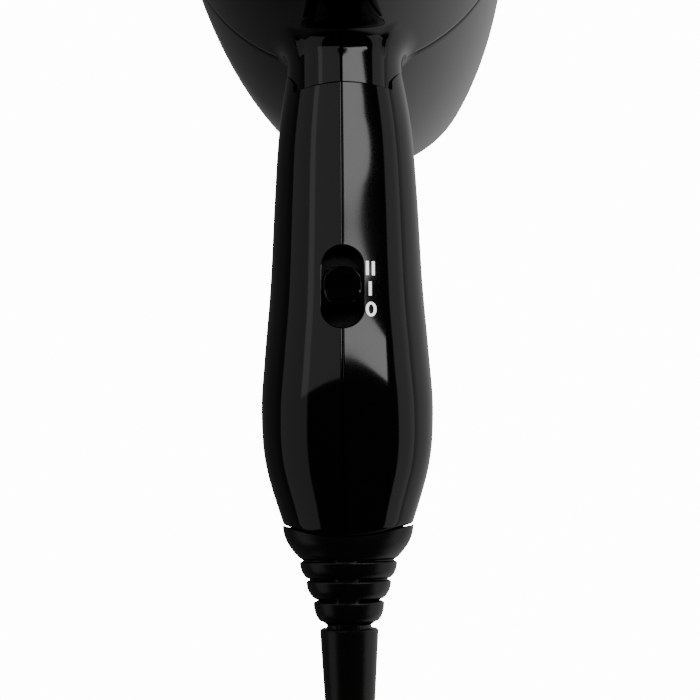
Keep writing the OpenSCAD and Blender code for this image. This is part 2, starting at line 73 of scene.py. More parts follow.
# Switch: the slot's straight sides reach SLOT_REACH each way, and its ends are round
SWITCH_Y, SLOT_HALF, SLOT_REACH = -95.0, 4.4, 4.5
SLOT_LIP, SLOT_FOOT_Z, SLOT_WALL = 0.35, 120.95, 0.9
KNOB_HALF, KNOB_LENGTH, KNOB_FOOT_Z, KNOB_TOP_Z, KNOB_EDGE = 4.05, 4.2, 118.85, 124.85, 0.45

# Cord
CORD_R, CORD_Z, SLEEVE_END_Y = 3.5, 112.0, -200.0
COIL_Y, COIL_IN_R, COIL_OUT_R = -276.0, 35.0, 42.0
COIL_LAYERS, COIL_END_DEG = 4, 20.0
CORD_RUN = [
    (0, -200, 112), (0, -209, 112), (0.8, -217.8, 110.1), (2.5, -225.9, 105.8),
    (5.3, -232.4, 99.4), (8.8, -236.5, 91.5), (12.8, -237.9, 82.9), (16.9, -236.7, 73.9),
    (20.8, -234, 64.5), (24.2, -233.3, 54.9), (27.1, -235.5, 45.5), (29.2, -240.7, 37.2),
    (30.5, -248.3, 30.8), (31.4, -257.8, 27), (33.8, -267.5, 25.2), (35, -276, 24.5),
]
PLUG_LEAD = [
    (39.6, -261.4, 24.5), (41.6, -268.7, 24.5), (42.9, -277.2, 25.3), (43.1, -285.8, 27.2),
    (41.5, -294.1, 29.8), (38, -301.7, 32.8), (32.7, -308.1, 35.8), (25.9, -313.1, 38.4),
    (17.9, -316.3, 40.2), (9.5, -317.8, 41),
]


# ---- meshes ----


def mesh(name, points, faces):
    data = bpy.data.meshes.new(name)
    data.from_pydata([Vector(p) * MM for p in points], [], faces)
    data.validate()
    obj = bpy.data.objects.new(name, data)
    bpy.context.scene.collection.objects.link(obj)
    return obj


def shade(obj, limit=32):
    """Smooth shading, with edges sharper than the limit left crisp."""
    bm = bmesh.new()
    bm.from_mesh(obj.data)
    bmesh.ops.remove_doubles(bm, verts=bm.verts, dist=2e-7)
    bmesh.ops.recalc_face_normals(bm, faces=bm.faces)
    for edge in bm.edges:
        edge.smooth = len(edge.link_faces) == 2 and edge.calc_face_angle(0) < math.radians(limit)
    for face in bm.faces:
        face.smooth = True
    bm.to_mesh(obj.data)
    bm.free()
    return obj


def grid(rings, closed=True, caps=True):
    """Points and faces of rings joined one to the next."""
    count = len(rings[0])
    points = [p for ring in rings for p in ring]
    last = count if closed else count - 1
    faces = []
    for i in range(len(rings) - 1):
        for j in range(last):
            k = (j + 1) % count
            faces.append((i * count + j, i * count + k, (i + 1) * count + k, (i + 1) * count + j))
    if caps:
        faces.append(tuple(range(count - 1, -1, -1)))
        faces.append(tuple(range((len(rings) - 1) * count, len(rings) * count)))
    return points, faces


def join(name, *parts):
    """One mesh object from several (points, faces) pairs."""
    points, faces = [], []
    for part_points, part_faces in parts:
        faces += [tuple(i + len(points) for i in face) for face in part_faces]
        points += part_points
    return mesh(name, points, faces)


def lathe(profile, steps=96, axis="Z", at=(0, 0, 0), closed=False):
    """Revolves (radius, height) points about an axis. A closed profile makes a ring."""
    rings = []
    for r, h in profile + (profile[:1] if closed else []):
        ring = []
        for j in range(steps):
            a = 2 * math.pi * j / steps
            c, s = r * math.cos(a), r * math.sin(a)
            ring.append({"Z": (c, s, h), "Y": (s, h, c), "X": (h, c, s)}[axis])
        rings.append([tuple(p[i] + at[i] for i in range(3)) for p in ring])
    points, faces = grid(rings, caps=False)
    if not closed:
        for end in (0, len(rings) - 1):
            if profile[end][0] > 0.05:
                faces.append(tuple(range(end * steps, (end + 1) * steps)))
    return points, faces


def box(x0, x1, y0, y1, z0, z1):
    ring = [(x0, y0), (x1, y0), (x1, y1), (x0, y1)]
    return grid([[(x, y, z0) for x, y in ring], [(x, y, z1) for x, y in ring]])


def apply_modifiers(obj):
    depsgraph = bpy.context.evaluated_depsgraph_get()
    data = bpy.data.meshes.new_from_object(obj.evaluated_get(depsgraph))
    obj.modifiers.clear()
    obj.data = data


def cut(obj, *tools):
    for points, faces in tools:
        tool = mesh("tool", points, faces)
        shade(tool)
        modifier = obj.modifiers.new("cut", "BOOLEAN")
        modifier.operation = "DIFFERENCE"
        modifier.solver = "EXACT"
        modifier.object = tool
        apply_modifiers(obj)
        bpy.data.objects.remove(tool)


def piece(obj, body, slot, material, *nodes):
    """Puts a finished mesh on its body, in place of CAD nodes."""
    obj.data.materials.clear()
    obj.data.materials.append(material)
    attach(obj, body)
    if nodes:
        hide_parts(*nodes)
    return obj


def smoothstep(low, high, value):
    t = min(1, max(0, (value - low) / (high - low)))
    return t * t * (3 - 2 * t)


def spread(low, high, count):
    return [low + (high - low) * i / (count - 1) for i in range(count)]


# ---- shared shapes ----


def along(table, u, k):
    """Smooth curve through column k of a table of stations."""
    i = max(j for j in range(len(table) - 1) if j == 0 or u >= table[j][0])

    def slope(j):
        a, b = max(j - 1, 0), min(j + 1, len(table) - 1)
        return (table[b][k] - table[a][k]) / (table[b][0] - table[a][0])

    h = table[i + 1][0] - table[i][0]
    s = (u - table[i][0]) / h
    return (
        (1 + 2 * s) * (1 - s) ** 2 * table[i][k]
        + s * (1 - s) ** 2 * h * slope(i)
        + s * s * (3 - 2 * s) * table[i + 1][k]
        + s * s * (s - 1) * h * slope(i + 1)
    )


def ridged(a, half, mid, up, down):
    """Point (x, z) of a section with a low ridge along its rear. a is 0 at the rear, pi at the front."""
    x, c = half * math.sin(a), math.cos(a)
    if c > 0:
        return x, mid + up * ((1 - RIDGE) * c + RIDGE * (1 - abs(math.sin(a))))
    return x, mid + down * c


def barrel_out(z):
    return BARREL_R - BARREL_BOW_R + math.sqrt(BARREL_BOW_R**2 - (z - BARREL_WIDE_Z) ** 2)


def shoulder(t):
    r = (barrel_out(SHOULDER_Z), barrel_out(SHOULDER_Z) - 1.1, 34.4, INLET_R + 1.5)
    z = (SHOULDER_Z, SHOULDER_Z + 13, INLET_Z - 5.5, INLET_Z)
    w = ((1 - t) ** 3, 3 * (1 - t) ** 2 * t, 3 * (1 - t) * t * t, t**3)
    return sum(a * b for a, b in zip(w, r)), sum(a * b for a, b in zip(w, z))


def shell_r(z):
    """Outside radius of the barrel and housing at any height below the inlet's edge."""
    if z <= SHOULDER_Z:
        return barrel_out(z)
    low, high = 0.0, 1.0
    for _ in range(40):
        t = (low + high) / 2
        low, high = (t, high) if shoulder(t)[1] < z else (low, t)
    return shoulder(low)[0]


def handle_section(u):
    """Half width, middle, and half depth of the handle at a distance down it."""
    front, rear = along(HANDLE, u, 2), along(HANDLE, u, 3)
    return along(HANDLE, u, 1), (front + rear) / 2, (rear - front) / 2


def handle_rear(x, y):
    """Height of the handle's rear surface."""
    half, mid, depth = handle_section(-y)
    return ridged(math.asin(min(1, abs(x) / half)), half, mid, depth, depth)[1]


def smile(x):
    """How far down the handle's lower edge is at x."""
    return BOTTOM_Y + BOTTOM_DIP * (1 - (x / BOTTOM_HALF) ** 2)


# ---- materials ----


def material(name, colour, rough, metal=0.0, vary=0.12, scale=60.0, bump=0.0, bump_scale=400.0):
    """A surface whose colour and roughness drift a little, with an optional fine grain."""
    made = bpy.data.materials.new(name)
    made.use_nodes = True
    nodes, links = made.node_tree.nodes, made.node_tree.links
    shader = nodes["Principled BSDF"]
    shader.inputs["Metallic"].default_value = metal
    where = nodes.new("ShaderNodeTexCoord")
    noise = nodes.new("ShaderNodeTexNoise")
    noise.inputs["Scale"].default_value = scale
    noise.inputs["Detail"].default_value = 4
    links.new(where.outputs["Object"], noise.inputs["Vector"])
    ramp = nodes.new("ShaderNodeValToRGB")
    ramp.color_ramp.elements[0].position = 0.3
    ramp.color_ramp.elements[1].position = 0.7
    ramp.color_ramp.elements[0].color = [c * (1 - vary) for c in colour] + [1]
    ramp.color_ramp.elements[1].color = [min(1, c * (1 + vary)) for c in colour] + [1]
    links.new(noise.outputs["Fac"], ramp.inputs["Fac"])
    links.new(ramp.outputs["Color"], shader.inputs["Base Color"])
    span = nodes.new("ShaderNodeMapRange")
    span.inputs["To Min"].default_value = rough * 0.85
    span.inputs["To Max"].default_value = rough * 1.15
    links.new(noise.outputs["Fac"], span.inputs["Value"])
    links.new(span.outputs["Result"], shader.inputs["Roughness"])
    if bump:
        grain = nodes.new("ShaderNodeTexNoise")
        grain.inputs["Scale"].default_value = bump_scale
        grain.inputs["Detail"].default_value = 3
        links.new(where.outputs["Object"], grain.inputs["Vector"])
        raised = nodes.new("ShaderNodeBump")
        raised.inputs["Strength"].default_value = bump
        raised.inputs["Distance"].default_value = 0.0003
        links.new(grain.outputs["Fac"], raised.inputs["Height"])
        links.new(raised.outputs["Normal"], shader.inputs["Normal"])
    return made


GLOSS = material("gloss_black", (0.004, 0.004, 0.0042), 0.07)
SATIN = material("satin_black", (0.006, 0.006, 0.006), 0.3, bump=0.08, bump_scale=2500)
INNER = material("inner_black", (0.018, 0.018, 0.019), 0.45, bump=0.15, bump_scale=1500)
STEEL = material("steel", (0.55, 0.55, 0.57), 0.28, metal=1, scale=200)
WIRE = material("heater_wire", (0.3, 0.26, 0.23), 0.4, metal=1, scale=500)
MICA = material("mica", (0.55, 0.46, 0.33), 0.6, vary=0.25, scale=300, bump=0.2)
BRASS = material("brass", (0.7, 0.5, 0.2), 0.3, metal=1, scale=200)
MAGNET = material("magnet", (0.1, 0.1, 0.11), 0.6, metal=0.6, bump=0.2)
COPPER = material("copper", (0.6, 0.28, 0.12), 0.35, metal=1, scale=600, vary=0.25)
BOARD = material("board", (0.05, 0.2, 0.08), 0.4, scale=300, vary=0.2)
FAN = material("fan_plastic", (0.6, 0.57, 0.5), 0.4, bump=0.05)
YELLOW = material("cap_yellow", (0.65, 0.48, 0.06), 0.3)
RED = material("wire_red", (0.4, 0.02, 0.02), 0.4)
BLUE = material("wire_blue", (0.03, 0.06, 0.3), 0.4)
NICKEL = material("nickel", (0.66, 0.65, 0.62), 0.18, metal=1, scale=300)
GLOWING_PRINT = material("print_white_glowing", (0.85, 0.85, 0.85), 0.45, vary=0.04, bump=0.05)
FLOOR = material("floor", (0.9, 0.9, 0.9), 0.6, vary=0.02, scale=5, bump=0.02)
GLOWING_PRINT_SHADER = GLOWING_PRINT.node_tree.nodes["Principled BSDF"]
GLOWING_PRINT_SHADER.inputs["Emission Color"].default_value = (1, 1, 1, 1)
GLOWING_PRINT_SHADER.inputs["Emission Strength"].default_value = 1.5  # painted light: the white print glows so that it stays white in the low light
SLOTS = {
    "gloss_black": GLOSS, "satin_black": SATIN, "inner_black": INNER, "steel": STEEL,
    "heater_wire": WIRE, "mica": MICA, "brass": BRASS, "magnet": MAGNET,
    "copper": COPPER, "board": BOARD, "fan_plastic": FAN, "cap_yellow": YELLOW,
    "wire_red": RED, "wire_blue": BLUE, "nickel": NICKEL,
}

for part in frame["record"]["subparts"]:
    node = frame["nodes"][part["node"]]
    node.data.materials.clear()
    node.data.materials.append(SLOTS[part["material_slot"]])
    for polygon in node.data.polygons:
        polygon.material_index = 0


# ---- camera ----


def make_camera():
    place, aim = Vector((14.9, -144.7, 380)), Vector((1.25, -107.98, 120))
    roll = math.radians(-0.66)
    ahead = (aim - place).normalized()
    side = ahead.cross(Vector((0, 1, 0))).normalized()
    top = side.cross(ahead)
    right = side * math.cos(roll) + top * math.sin(roll)
    up = top * math.cos(roll) - side * math.sin(roll)
    camera = bpy.data.objects.new("camera", bpy.data.cameras.new("camera"))
    bpy.context.scene.collection.objects.link(camera)
    camera.data.lens = 64.2
    camera.data.sensor_width = 36
    camera.data.clip_start = 0.01
    turned = Matrix((right, up, -ahead)).transposed().to_4x4()
    camera.matrix_world = Matrix.Translation(place * MM) @ turned
    bpy.context.scene.camera = camera


make_camera()


# ---- cord ----


def smooth_line(points, steps=8):
    """Points on the smooth curve that passes through the given ones."""
    p = [Vector(q) for q in points]
    p = [2 * p[0] - p[1], *p, 2 * p[-1] - p[-2]]
    line = []
    for i in range(1, len(p) - 2):
        a, b, c, d = p[i - 1 : i + 3]
        for k in range(steps):
            t = k / steps
            first = (c - a) * t
            second = (2 * a - 5 * b + 4 * c - d) * t * t
            third = (3 * b - a - 3 * c + d) * t**3
            line.append(0.5 * (2 * b + first + second + third))
    return [*line, p[-2]]


def coil_line():
    """Down the coil's inner column of turns and up its outer one, leaving each layer once a turn."""
    levels = [CORD_R + 2 * CORD_R * k for k in range(COIL_LAYERS)]
    slots = [(COIL_IN_R, z) for z in reversed(levels)] + [(COIL_OUT_R, z) for z in levels]
    inner, across, outer = 0.18, 0.246, 0.14  # share of a turn that each change of layer takes
    windows = [inner] * (COIL_LAYERS - 1) + [across] + [outer] * (COIL_LAYERS - 1)
    start = 0.67
    changes = [(start, start + inner)]
    for window in windows[1:]:
        start += 1 - window
        changes.append((start, start + window))
    turns = math.floor(changes[-1][1]) + 1 - COIL_END_DEG / 360
    line, count = [], int(turns * 72)
    for k in range(1, count):
        t = turns * k / count
        radius, height = slots[0]
        for (low, high), (next_radius, next_height) in zip(changes, slots[1:]):
            share = smoothstep(low, high, t)
            radius += (next_radius - radius) * share
            height += (next_height - height) * share
        a = -2 * math.pi * t
        line.append(Vector((radius * math.cos(a), COIL_Y + radius * math.sin(a), height)))
    return line


def make_cord():
    """The free cord as one line: its drop from the sleeve, the coil, and the lead to the plug."""
    line = smooth_line(CORD_RUN) + coil_line() + smooth_line(PLUG_LEAD)
    data = bpy.data.curves.new("mains_cord", "CURVE")
    data.dimensions = "3D"
    data.bevel_depth = CORD_R * MM
    data.bevel_resolution = 8
    data.use_fill_caps = True
    spline = data.splines.new("POLY")
    spline.points.add(len(line) - 1)
    for point, place in zip(spline.points, line):
        point.co = (*(place * MM), 1)
    spline.use_smooth = True
    cord = bpy.data.objects.new("mains_cord", data)
    bpy.context.scene.collection.objects.link(cord)
    data.materials.append(SATIN)
    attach(cord, "handle")
    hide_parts("cord_run", "cord_coil", "plug_lead")
    return cord, sum((b - a).length for a, b in zip(line, line[1:])) * MM


cord, cord_length = make_cord()


# ---- shells ----


def neck_patch(low, high):
    """The neck between two heights: from its flat end, round a fillet, to lie tangent on the barrel."""
    foot_half, foot_up, foot_down, rear = 17.1, 22.5, 17.5, 120.1
    rings, steps = [], 144
    for i in range(steps + 1):
        a = 2 * math.pi * i / steps
        x0, z0 = ridged(a, NECK_HALF, NECK_MID_Z, rear - NECK_MID_Z, NECK_MID_Z - NECK_FRONT_Z)
        x1, z1 = ridged(a, foot_half, NECK_MID_Z, foot_up, foot_down)
        r = shell_r(z1)
        slope = shell_r(z1 + 0.5) - shell_r(z1 - 0.5)
        start = Vector((x0, NECK_END_Y, z0))
        end = Vector((x1, -math.sqrt(r * r - x1 * x1), z1))
        normal = Vector((end.x / r, end.y / r, -slope)).normalized()
        reach = normal.dot(end - start) / normal.y
        corner = start + Vector((0, reach, 0))
        tight = REAR_FILLET + 20 * (1 - smoothstep(0.2, 0.8, math.cos(a)))
        arm = min((end - corner).length, reach, tight)
        turn = corner - Vector((0, arm, 0))
        settle = corner + (end - corner).normalized() * arm
        path = [start + (turn - start) * t for t in spread(0, 0.9, 6)]
        for t in spread(0, 1, 24):
            path.append(turn * (1 - t) ** 2 + corner * 2 * t * (1 - t) + settle * t * t)
        path += [settle + (end - settle) * t for t in spread(0.3, 1, 3)]
        path.append(end + (end - corner).normalized() * 0.6 - normal * 0.08)
        rings.append([tuple(p) for p in path])
    bm = bmesh.new()
    points, faces = grid(rings, closed=False, caps=False)
    cap = [ring[0] for ring in rings[:-1]]
    faces.append(tuple(len(points) + k for k in range(len(cap))))
    points = points + cap
    made = [bm.verts.new(p) for p in points]
    for face in faces:
        bm.faces.new([made[k] for k in face])
    bmesh.ops.remove_doubles(bm, verts=bm.verts, dist=0.001)
    for height, outer in ((low, False), (high, True)):
        everything = bm.verts[:] + bm.edges[:] + bm.faces[:]
        bmesh.ops.bisect_plane(
            bm,
            geom=everything,
            plane_co=(0, 0, height),
            plane_no=(0, 0, 1),
            clear_outer=outer,
            clear_inner=not outer,
        )
    bm.verts.index_update()
    result = [tuple(v.co) for v in bm.verts], [tuple(v.index for v in f.verts) for f in bm.faces]
    bm.free()
    return result


def make_shells():
    """Barrel, rear housing, and the bulged knuckle that the handle folds on."""
    g, r = SEAM_HALF_GAP, barrel_out(SEAM_Z)
    outside = [(barrel_out(z), z) for z in spread(1, SEAM_Z - g - 0.25, 60)]
    inside = [(barrel_out(z) - WALL, z) for z in spread(SEAM_Z - g, 3.2, 24)]
    lip = [(OUTLET_R, 3.2), (OUTLET_R, 0.25), (OUTLET_R + 0.25, 0), (33, 0), (33.35, 0.1), (33.6, 0.35)]
    edge = [(r - 0.07, SEAM_Z - g - 0.07), (r - 0.25, SEAM_Z - g)]
    shell = lathe(lip + outside + edge + inside, 192, closed=True)
    barrel = join("barrel_shell", shell, neck_patch(60, SEAM_Z - g))
    piece(shade(barrel), "head", "gloss_black", GLOSS, "front_barrel")

    start = [(r - 0.25, SEAM_Z + g), (r - 0.07, SEAM_Z + g + 0.07)]
    side = [(barrel_out(z), z) for z in spread(SEAM_Z + g + 0.25, SHOULDER_Z - 0.6, 16)]
    top = [shoulder(t) for t in spread(0, 0.97, 28)]
    bore = INLET_R + 0.05
    mouth = [(28.0, INLET_Z + 0.05), (27.4, INLET_Z), (bore, INLET_Z - 0.35), (bore, INLET_Z - 3)]
    back = [(shoulder(t)[0] - WALL, shoulder(t)[1] - 0.6 * t * WALL) for t in spread(0.8, 0, 14)]
    spigot = [(36, 101.5), (36, 94), (36.75, 94), (36.75, SEAM_Z + g)]
    shell = lathe(start + side + top + mouth + back + spigot, 192, closed=True)
    housing = join("rear_housing_shell", shell, neck_patch(SEAM_Z + g, 150))
    piece(shade(housing), "head", "gloss_black", GLOSS)

    width = spread(-TONGUE_HALF, TONGUE_HALF, 41)
    turn = [(1.1 + 12.3 * math.sqrt(1 - (x / 12.7) ** 2), x) for x in width]
    knuckle = join("fold_knuckle", lathe(turn, 128, "X", (0, FOLD_Y, FOLD_Z)))
    piece(shade(knuckle), "head", "gloss_black", GLOSS)
    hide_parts("rear_housing")


make_shells()


# ---- handle ----


def handle_ring(u, wall):
    """Right half of a handle section, from the rear round to the front, with softened centre edges."""
    softened = [(0.08, 0.45), (0.09, 0.16), (0.14, 0.05), (0.26, 0.0)]
    if wall == HANDLE_WALL:
        softened = [(0.0, 0.0), (0.1, 0.0), (0.18, 0.0), (0.26, 0.0)]  # the halves meet inside the seam
    angles = [math.radians(a) for a in spread(1.6, 178.4, 78)]
    half, mid, depth = handle_section(u)
    half, depth = half - wall, depth - wall
    points = [(x, mid + depth - drop - RIDGE * depth * x / half) for x, drop in softened]
    points += [ridged(a, half, mid, depth, depth) for a in angles]
    points += [(x, mid - depth + drop) for x, drop in reversed(softened)]
    share = smoothstep(118, BOTTOM_Y, u)
    return [(x, -(u + share * (smile(x) - BOTTOM_Y)), z) for x, z in points]


def stadium(half, reach, steps):
    """Closed outline (x, y) with straight sides and round ends, from the top centre clockwise."""
    points = []
    for k in range(2 * steps):
        a = math.pi * k / steps
        shift = reach if math.cos(a) > 1e-9 or k == 0 else -reach
        points.append((half * math.sin(a), half * math.cos(a) + shift))
        if k in (steps // 2 - 1, 3 * steps // 2):
            sign = 1 if k < steps else -1
            for y in spread(reach, -reach, 14)[1:-1]:
                points.append((half * sign, y * sign))
    return points


def slot_lip():
    """Rounded edge of the switch's slot on the right half, and the wall that goes down from it."""
    rings = []
    for base in stadium(SLOT_HALF, SLOT_REACH, 48):
        if base[0] < -1e-6:
            continue
        centre_y = SLOT_REACH if base[1] > SLOT_REACH else -SLOT_REACH if base[1] < -SLOT_REACH else base[1]
        out = Vector((base[0], base[1] - centre_y)).normalized()
        ring = []
        for turn in spread(0, 90, 7):
            grow = SLOT_LIP * (1 - math.sin(math.radians(turn)))
            x, y = base[0] + out.x * grow, base[1] + out.y * grow + SWITCH_Y
            ring.append((max(x, 0.08), y, handle_rear(x, y) - SLOT_LIP * (1 - math.cos(math.radians(turn)))))
        x, y = base[0], base[1] + SWITCH_Y
        ring.append((max(x, 0.08), y, SLOT_FOOT_Z))
        x, y = x + out.x * SLOT_WALL, y + out.y * SLOT_WALL
        ring.append((max(x, 0.08), y, SLOT_FOOT_Z))
        ring.append((max(x, 0.08), y, SLOT_FOOT_Z + 0.6))
        rings.append(ring)
    return grid(rings, closed=False, caps=False)


def handle_half(side):
    """One shell of the handle, with its fold cheek and half of the switch's slot. side is 1 or -1."""
    rows = spread(41, 118, 92) + spread(118.8, BOTTOM_Y - 0.5, 34) + [BOTTOM_Y - 0.15, BOTTOM_Y]
    rings = []
    for u in rows:
        edge = 0.3 if u == BOTTOM_Y else 0.08 if u == BOTTOM_Y - 0.15 else 0
        rings.append(handle_ring(u, edge) + handle_ring(u, HANDLE_WALL)[::-1])
    name = "handle_shell_right" if side > 0 else "handle_shell_left"
    half = mesh(name, *grid(rings))
    shade(half)
    turn = spread(-1.0925, 1.0925, 48)  # as far as the arc meets the fold's seam
    arc = [(FOLD_Y + CHEEK_R * math.cos(a), FOLD_Z + CHEEK_R * math.sin(a)) for a in turn]
    outline = [(FOLD_SEAM_Y, 140), (-20, 140), (-20, 80), (FOLD_SEAM_Y, 80), *arc]
    cheek_tool = grid([[(x, y, z) for y, z in outline] for x in (CHEEK_IN - 0.4, 30)])
    slot_outline = stadium(SLOT_HALF + SLOT_LIP, SLOT_REACH, 48)
    slot_tool = grid([[(x, SWITCH_Y + y, z) for x, y in slot_outline] for z in (116, 131)])
    above_fold = box(-1, CHEEK_IN, FOLD_SEAM_Y, -20, 80, 140)
    knuckle_room = box(-1, CHEEK_IN, -69, -29, 80, FOLD_Z)
    cover_room = box(-1, 5.2, SWITCH_Y - 18, SWITCH_Y + 18, 117.05, 119.15)
    skirt_room = box(-1, SLOT_HALF + 0.05, SWITCH_Y - 9, SWITCH_Y + 9, 118.5, SLOT_FOOT_Z)
    cut(half, above_fold, knuckle_room, cheek_tool, slot_tool, cover_room, skirt_room)
    lip = mesh("lip", *slot_lip())
    cheek = mesh("cheek", *lathe([(6, CHEEK_IN), (6, 12.6)], 48, "X", (0, FOLD_Y, FOLD_Z)))
    for extra in (lip, cheek):
        bm = bmesh.new()
        bm.from_mesh(half.data)
        bm.from_mesh(extra.data)
        bm.to_mesh(half.data)
        bm.free()
        bpy.data.objects.remove(extra)
    if side < 0:
        half.data.transform(Matrix.Scale(-1, 4, (1, 0, 0)))
        half.data.flip_normals()
    shade(half)
    return piece(half, "handle", "gloss_black", GLOSS, "handle_right" if side > 0 else "handle_left")


handle_half(1)
handle_half(-1)


# ---- switch ----


def knob_outline(half, length, square=False, steps=40):
    """Closed outline that is nearly square, or rounded so that it fits the slot's round ends."""
    points = []
    power = 0.16 if square else 0.85
    for k in range(4 * steps):
        a = 2 * math.pi * k / (4 * steps)
        c, d = math.cos(a), math.sin(a)
        points.append((half * math.copysign(abs(d) ** power, d), length * math.copysign(abs(c) ** power, c)))
    return points


def make_knob():
    """Slide button: a flat pointer band at its top, then a scoop, then a rounded lower lip."""
    scoop_end, scoop_top, scoop_long, scoop_deep = -3.3, 2.3, 5.6, 1.15

    def height(y):
        scoop = 0.0
        if scoop_end < y < scoop_top:
            scoop = scoop_deep * math.sin(math.pi * (scoop_top - y) / scoop_long) ** 0.8
        band = 0.12 * max(0, y - scoop_top)
        return KNOB_TOP_Z - scoop - band

    rings = []
    for inset in spread(0, KNOB_EDGE, 5):
        drop = KNOB_EDGE - math.sqrt(max(0, KNOB_EDGE**2 - (KNOB_EDGE - inset) ** 2))
        outline = knob_outline(KNOB_HALF - inset, KNOB_LENGTH - inset)
        rings.append([(x, SWITCH_Y + y, height(y) - drop) for x, y in outline])
    foot = [(x, y, KNOB_FOOT_Z) for x, y, _ in rings[0]]
    inner = knob_outline(KNOB_HALF - KNOB_EDGE, KNOB_LENGTH - KNOB_EDGE)
    for share in spread(0.95, 0.0, 16):
        rings.append([(x * share, SWITCH_Y + y * share, height(y * share)) for x, y in inner])
    top = join("switch_button", grid([foot, *rings], caps=False))
    square = knob_outline(KNOB_HALF, KNOB_LENGTH, True)
    levels = (KNOB_FOOT_Z, 120.6, 120.75)
    base = mesh("switch_button_skirt", *grid([[(x, SWITCH_Y + y, z) for x, y in square] for z in levels]))
    piece(shade(top), "switch_slider", "gloss_black", GLOSS, "switch_knob")
    piece(shade(base), "switch_slider", "gloss_black", GLOSS)


def print_mark(name, outlines):
    """Thin white print that follows the handle's surface. Each outline is a quad strip of (x, y) pairs."""
    parts = []
    for strip in outlines:
        rings = []
        for pair in strip:
            (xa, ya), (xb, yb) = pair
            line = [(xa + (xb - xa) * t, ya + (yb - ya) * t) for t in spread(0, 1, 5)]
            top = [(x, y, handle_rear(x, y) + 0.035) for x, y in line]
            under = [(x, y, handle_rear(x, y) - 0.02) for x, y in reversed(line)]
            rings.append(top + under)
        parts.append(grid(rings))
    mark = join(name, *parts)
    piece(shade(mark), "handle", None, GLOWING_PRINT)


def make_marks():
    """Two bars, one bar and a ring beside the switch: fast, slow and off."""
    x0, tall, stroke = 5.85, 1.55, 0.3

    def bar(x, y):
        return [((x - stroke, y + t), (x + stroke, y + t)) for t in spread(-tall, tall, 9)]

    fast_y, slow_y, off_x, off_y = -90.9, -95.4, x0 + 0.1, -99.9
    print_mark("mark_fast", [bar(x0 - 0.62, fast_y), bar(x0 + 0.62, fast_y)])
    print_mark("mark_slow", [bar(x0 - 0.05, slow_y)])
    ring = []
    for k in range(49):
        a = 2 * math.pi * k / 48
        c, d = math.cos(a), math.sin(a)
        inside, outside = (off_x + 0.52 * d, off_y + 1.05 * c), (off_x + 1.1 * d, off_y + 1.6 * c)
        ring.append((inside, outside))
    print_mark("mark_off", [ring])


make_knob()
make_marks()


# ---- boot, sleeve ----

# Cup-shaped rings of the boot: start, end, half width at each end, half depth at each end
CUPS = [
    (152.05, 155.55, 10.35, 8.8, 8.8, 7.6),
    (156.05, 159.95, 9.0, 7.0, 7.9, 6.5),
    (160.4, 164.5, 7.5, 6.0, 7.0, 5.8),
]
COLLAR_TOP, CUP_SWEEP = 144.2, 0.92
# Half depth of the spine that joins the rings along the boot's front and rear
SPINE = [(144.0, 9.9), (151.0, 8.9), (156.0, 7.7), (160.5, 6.9), (164.0, 5.6), (166.5, 5.0)]


def cup_rows():
    """Distance down, half width and half depth of the boot's collar and rings."""
    rows = []
    for u in spread(COLLAR_TOP, 151.2, 14):
        share = ((u - 144) / 7.4) ** 2
        rows.append((u, 13.95 - 3.6 * share, 9.9 - 1.0 * share))
    rows += [(151.5, 10.1, 8.75), (151.62, 9.85, 8.5), (151.75, 9.65, 8.3)]
    for start, end, half0, half1, deep0, deep1 in CUPS:
        rows += [
            (start - 0.12, half0 - 0.65, deep0 - 0.6),
            (start, half0 - 0.35, deep0 - 0.3),
            (start + 0.14, half0 - 0.12, deep0 - 0.1),
        ]
        for t in spread(0.08, 0.96, 12):
            bowl = math.sqrt(1 - (t * CUP_SWEEP) ** 2)
            share = (1 - bowl) / (1 - math.sqrt(1 - CUP_SWEEP**2))
            half, deep = half0 + (half1 - half0) * share, deep0 + (deep1 - deep0) * share
            rows.append((start + (end - start) * t, half, deep))
        rows += [(end, half1 - 0.2, deep1 - 0.2), (end + 0.12, half1 - 0.5, deep1 - 0.5)]
    rows += [(165.2, 4.7, 4.7), (166.5, 4.7, 4.7)]
    return rows


def make_boot():
    """Strain relief with a collar and three rings, and the tapered sleeve below it."""
    rings = []
    cups = cup_rows()
    top, wide, thick = cups[0]
    rows = [
        (top - 1.9, 11.7, 8.4),
        (top - 0.3, 11.7, 8.4),
        (top, wide - 0.75, thick - 0.75),
        (top, wide - 0.3, thick - 0.3),
        (top + 0.12, wide - 0.07, thick - 0.07),
        *cups,
    ]
    for u, half, deep in rows:
        ring = []
        for j in range(144):
            a = 2 * math.pi * j / 144
            x = half * math.sin(a)
            share = smoothstep(1.9, 2.7, abs(x)) if u > 151 else 1
            depth = deep * share + max(deep, along(SPINE, u, 1)) * (1 - share)
            lift = (smile(x) + 0.35 - COLLAR_TOP) * (1 - smoothstep(COLLAR_TOP, 150.5, u))
            ring.append((x, -(u + lift), CORD_Z + depth * math.cos(a)))
        rings.append(ring)
    boot = join("cord_boot", grid(rings))
    piece(shade(boot, 40), "handle", "satin_black", SATIN, "ring_boot")

    profile = [(3.45, -165.95), (5.7, -165.95), (6.0, -166.1), (6.17, -166.4)]
    profile += [(6.17 - 2.07 * t, -166.4 - 33.2 * t) for t in spread(0.03, 1, 24)]
    profile += [(3.95, -199.85), (3.6, SLEEVE_END_Y), (3.45, SLEEVE_END_Y)]
    sleeve = join("cord_sleeve_shell", lathe(profile, 96, "Y", (0, 0, CORD_Z)))
    piece(shade(sleeve), "handle", "satin_black", SATIN, "cord_sleeve")


make_boot()


# ---- plug and tie ----


